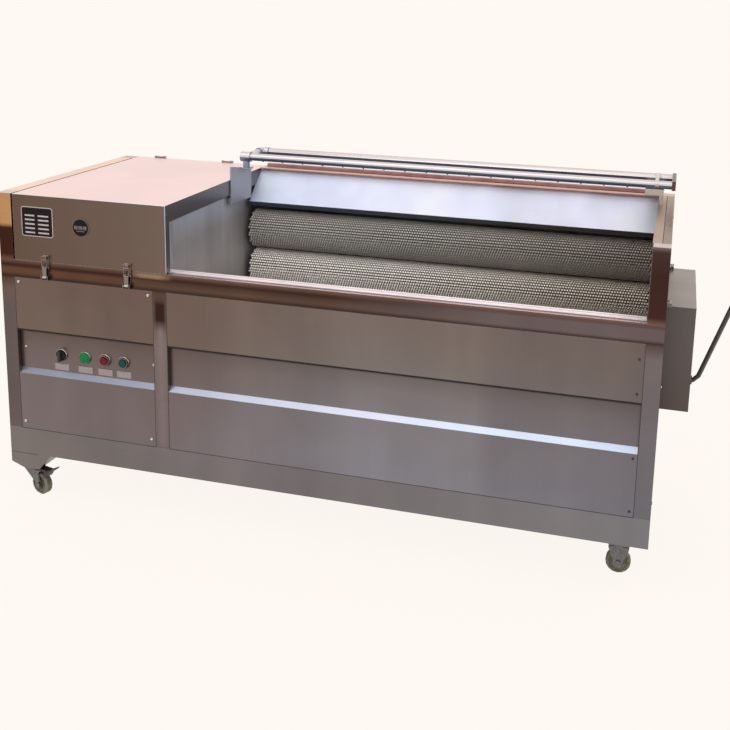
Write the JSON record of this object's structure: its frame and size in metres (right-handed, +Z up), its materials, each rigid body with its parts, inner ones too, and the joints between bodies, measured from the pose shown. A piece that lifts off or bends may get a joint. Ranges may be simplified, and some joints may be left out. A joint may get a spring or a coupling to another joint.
{
  "type": "roller vegetable washer",
  "caption": "Trough-shaped vegetable washer on casters: driven brush rollers in a U, spray pipes above, motor under a lid at one end, outlet door at the other.",
  "frame": {"origin": "on the floor, at the middle of the bounding box seen from above", "axes": "+X along the rollers from the drive to the outlet, +Y from the operator's side to the back, +Z up"},
  "size_m": [1.9096, 0.6974, 0.9385],
  "materials": {
    "frame_steel": "satin brushed stainless steel, brown reflections",
    "pale_steel": "bright satin stainless steel",
    "sheet_steel": "satin stainless sheet",
    "polished_steel": "polished",
    "bristle": "olive nylon brush",
    "wheel_grey": "grey moulded wheel",
    "caster_steel": "zinc plated",
    "black_plastic": "satin black",
    "green_lens": "clear green lens",
    "red_plastic": "glossy",
    "teal_plastic": "glossy",
    "motor_paint": "machine enamel",
    "oiled_steel": "oiled bare steel"
  },
  "bodies": {
    "machine": {"base_frame": "frame_steel", "front_frame": "frame_steel", "rear_frame": "frame_steel", "left_top_rail": "pale_steel", "right_top_rail": "frame_steel", "drive_front_panel": "frame_steel", "wash_front_panel": "frame_steel", "rear_panel": "sheet_steel", "left_side_panel": "sheet_steel", "drive_bulkhead": "sheet_steel", "right_end_wall": "sheet_steel", "right_end_panel": "sheet_steel", "front_liner": "pale_steel", "splash_baffle": "pale_steel", "drain_pan": "sheet_steel", "motor_shelf": "sheet_steel", "gear_motor": "motor_paint", "drive_chain": "oiled_steel", "lid_hinge_left": "sheet_steel", "lid_hinge_right": "sheet_steel", "latch_base_left": "sheet_steel", "latch_base_right": "sheet_steel", "power_lamp": "green_lens", "spray_pipe_front": "polished_steel", "spray_pipe_rear": "polished_steel", "pipe_bracket_left": "pale_steel", "pipe_bracket_right": "sheet_steel", "caster_fork_front_right": "caster_steel", "caster_fork_back_right": "caster_steel"},
    "lid": {"drive_lid": "frame_steel"},
    "latch_left": {"latch_left": "polished_steel"},
    "latch_right": {"latch_right": "polished_steel"},
    "switch": {"switch_knob": "black_plastic"},
    "stop_button": {"stop_button": "red_plastic"},
    "start_button": {"start_button": "teal_plastic"},
    "outlet_door": {"outlet_door": "sheet_steel", "door_lever": "black_plastic"},
    "drive_sprocket": {"drive_sprocket": "oiled_steel"},
    "roller_1": {"brush_roller_1": "bristle", "roller_sprocket_1": "oiled_steel"},
    "roller_2": {"brush_roller_2": "bristle", "roller_sprocket_2": "oiled_steel"},
    "roller_3": {"brush_roller_3": "bristle", "roller_sprocket_3": "oiled_steel"},
    "roller_4": {"brush_roller_4": "bristle", "roller_sprocket_4": "oiled_steel"},
    "roller_5": {"brush_roller_5": "bristle", "roller_sprocket_5": "oiled_steel"},
    "roller_6": {"brush_roller_6": "bristle", "roller_sprocket_6": "oiled_steel"},
    "roller_7": {"brush_roller_7": "bristle", "roller_sprocket_7": "oiled_steel"},
    "roller_8": {"brush_roller_8": "bristle", "roller_sprocket_8": "oiled_steel"},
    "caster_wheel_front_left": {"caster_wheel_front_left": "wheel_grey"},
    "caster_fork_front_left": {"caster_fork_front_left": "caster_steel"},
    "caster_wheel_back_left": {"caster_wheel_back_left": "wheel_grey"},
    "caster_fork_back_left": {"caster_fork_back_left": "caster_steel"},
    "caster_wheel_front_right": {"caster_wheel_front_right": "wheel_grey"},
    "caster_wheel_back_right": {"caster_wheel_back_right": "wheel_grey"}
  },
  "joints": [
    {"name": "lid_open", "type": "hinge", "parent": "machine", "child": "lid", "pos_m": [-0.68633, 0.34375, 0.8675], "axis": [-1, 0, 0], "range_deg": [0, 95]},
    {"name": "latch_left_swing", "type": "hinge", "parent": "machine", "child": "latch_left", "pos_m": [-0.81583, -0.34425, 0.6455], "axis": [1, 0, 0], "range_deg": [0, 120]},
    {"name": "latch_right_swing", "type": "hinge", "parent": "machine", "child": "latch_right", "pos_m": [-0.57383, -0.34425, 0.6455], "axis": [1, 0, 0], "range_deg": [0, 120]},
    {"name": "switch_turn", "type": "hinge", "parent": "machine", "child": "switch", "pos_m": [-0.78883, -0.32355, 0.426], "axis": [0, 1, 0], "range_deg": [0, 90]},
    {"name": "stop_press", "type": "slide", "parent": "machine", "child": "stop_button", "axis": [0, 1, 0], "range_m": [0, 0.004], "stiffness_N_per_m": 500, "springref_m": -0.001},
    {"name": "start_press", "type": "slide", "parent": "machine", "child": "start_button", "axis": [0, 1, 0], "range_m": [0, 0.004], "stiffness_N_per_m": 500, "springref_m": -0.001},
    {"name": "outlet_door_swing", "type": "hinge", "parent": "machine", "child": "outlet_door", "pos_m": [0.79127, -0.00125, 0.6925], "axis": [0, -1, 0], "range_deg": [0, 70]},
    {"name": "roller_1_spin", "type": "hinge", "parent": "machine", "child": "roller_1", "pos_m": [-0.51783, 0.24175, 0.687], "axis": [1, 0, 0], "continuous": true},
    {"name": "roller_2_spin", "type": "hinge", "parent": "machine", "child": "roller_2", "pos_m": [-0.51783, 0.24175, 0.563], "axis": [1, 0, 0], "continuous": true},
    {"name": "roller_3_spin", "type": "hinge", "parent": "machine", "child": "roller_3", "pos_m": [-0.51783, 0.2102, 0.44525], "axis": [1, 0, 0], "continuous": true},
    {"name": "roller_4_spin", "type": "hinge", "parent": "machine", "child": "roller_4", "pos_m": [-0.51783, 0.124, 0.35905], "axis": [1, 0, 0], "continuous": true},
    {"name": "roller_5_spin", "type": "hinge", "parent": "machine", "child": "roller_5", "pos_m": [-0.51783, 0.00625, 0.3275], "axis": [1, 0, 0], "continuous": true},
    {"name": "roller_6_spin", "type": "hinge", "parent": "machine", "child": "roller_6", "pos_m": [-0.51783, -0.1115, 0.35905], "axis": [1, 0, 0], "continuous": true},
    {"name": "roller_7_spin", "type": "hinge", "parent": "machine", "child": "roller_7", "pos_m": [-0.51783, -0.1977, 0.44525], "axis": [1, 0, 0], "continuous": true},
    {"name": "roller_8_spin", "type": "hinge", "parent": "machine", "child": "roller_8", "pos_m": [-0.51783, -0.22925, 0.563], "axis": [1, 0, 0], "continuous": true},
    {"name": "drive_sprocket_spin", "type": "hinge", "parent": "machine", "child": "drive_sprocket", "pos_m": [-0.51433, 0.00625, 0.718], "axis": [1, 0, 0], "continuous": true},
    {"name": "front_left_swivel", "type": "hinge", "parent": "machine", "child": "caster_fork_front_left", "pos_m": [-0.90283, -0.30425, 0.0797], "axis": [0, 0, 1], "continuous": true},
    {"name": "front_left_roll", "type": "hinge", "parent": "caster_fork_front_left", "child": "caster_wheel_front_left", "pos_m": [-0.87772, -0.31098, 0.031], "axis": [0.2588, 0.9659, 0], "continuous": true},
    {"name": "back_left_swivel", "type": "hinge", "parent": "machine", "child": "caster_fork_back_left", "pos_m": [-0.90283, 0.30575, 0.0797], "axis": [0, 0, 1], "continuous": true},
    {"name": "back_left_roll", "type": "hinge", "parent": "caster_fork_back_left", "child": "caster_wheel_back_left", "pos_m": [-0.88292, 0.28904, 0.031], "axis": [0.6428, 0.766, 0], "continuous": true},
    {"name": "front_right_roll", "type": "hinge", "parent": "machine", "child": "caster_wheel_front_right", "pos_m": [0.71517, -0.23225, 0.031], "axis": [0, 1, 0], "continuous": true},
    {"name": "back_right_roll", "type": "hinge", "parent": "machine", "child": "caster_wheel_back_right", "pos_m": [0.71517, 0.23375, 0.031], "axis": [0, 1, 0], "continuous": true}
  ],
  "couplings": [
    {"joint": "roller_2_spin", "follows": "roller_1_spin", "ratio": 1},
    {"joint": "roller_3_spin", "follows": "roller_1_spin", "ratio": 1},
    {"joint": "roller_4_spin", "follows": "roller_1_spin", "ratio": 1},
    {"joint": "roller_5_spin", "follows": "roller_1_spin", "ratio": 1},
    {"joint": "roller_6_spin", "follows": "roller_1_spin", "ratio": 1},
    {"joint": "roller_7_spin", "follows": "roller_1_spin", "ratio": 1},
    {"joint": "roller_8_spin", "follows": "roller_1_spin", "ratio": 1},
    {"joint": "drive_sprocket_spin", "follows": "roller_1_spin", "ratio": 1}
  ]
}
